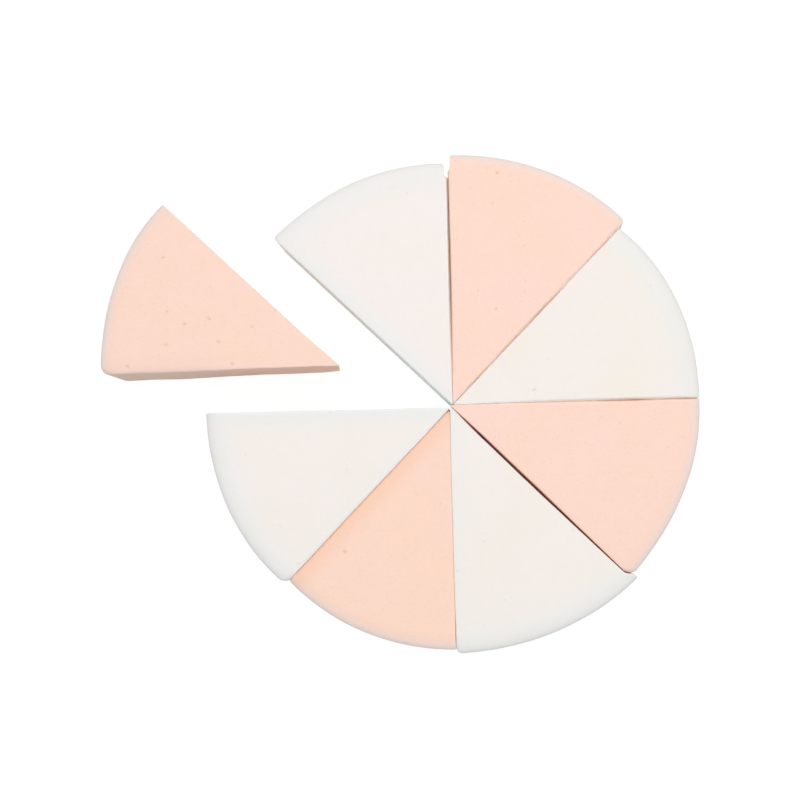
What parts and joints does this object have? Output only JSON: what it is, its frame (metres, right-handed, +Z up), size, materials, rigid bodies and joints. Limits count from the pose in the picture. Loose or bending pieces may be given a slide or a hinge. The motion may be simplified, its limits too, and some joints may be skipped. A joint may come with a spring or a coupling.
{
  "type": "cosmetic wedge sponge set",
  "caption": "Loose foam make-up wedges in white and peach, laid together as a thick round disc with a wedge drawn out; the wedges slide straight outwards.",
  "frame": {"origin": "middle of the set's footprint, on the surface that the wedges lie on", "axes": "+Z up through the wedges' flat faces; +X and +Y along two of the cuts between wedges, to within a degree, with the drawn-out wedge on the -X side"},
  "size_m": [0.1178, 0.0982, 0.024],
  "materials": {
    "white_foam": "matte closed-skin latex foam, off-white",
    "peach_foam": "matte fine-pored latex foam, pale peach"
  },
  "bodies": {
    "lower_right_peach": {"peach_wedge_4": "peach_foam"},
    "upper_left_white": {"white_wedge_1": "white_foam"},
    "upper_right_peach": {"peach_wedge_2": "peach_foam"},
    "right_white": {"white_wedge_3": "white_foam"},
    "lower_middle_white": {"white_wedge_5": "white_foam"},
    "lower_left_peach": {"peach_wedge_6": "peach_foam"},
    "left_white": {"white_wedge_7": "white_foam"},
    "drawn_out_peach": {"peach_wedge_8": "peach_foam"}
  },
  "joints": [
    {"name": "draw_white_1", "type": "slide", "parent": "lower_right_peach", "child": "upper_left_white", "axis": [-0.3875, 0.9219, 0], "range_m": [0, 0.05]},
    {"name": "draw_peach_2", "type": "slide", "parent": "lower_right_peach", "child": "upper_right_peach", "axis": [0.383, 0.9237, 0], "range_m": [0, 0.05]},
    {"name": "draw_white_3", "type": "slide", "parent": "lower_right_peach", "child": "right_white", "axis": [0.9239, 0.3827, 0], "range_m": [0, 0.05]},
    {"name": "draw_white_5", "type": "slide", "parent": "lower_right_peach", "child": "lower_middle_white", "axis": [0.3798, -0.9251, 0], "range_m": [0, 0.05]},
    {"name": "draw_peach_6", "type": "slide", "parent": "lower_right_peach", "child": "lower_left_peach", "axis": [-0.3819, -0.9242, 0], "range_m": [0, 0.05]},
    {"name": "draw_white_7", "type": "slide", "parent": "lower_right_peach", "child": "left_white", "axis": [-0.9249, -0.3803, 0], "range_m": [0, 0.05]},
    {"name": "draw_peach_8", "type": "slide", "parent": "lower_right_peach", "child": "drawn_out_peach", "axis": [-0.9278, 0.373, 0], "range_m": [-0.0215, 0.0262]}
  ]
}
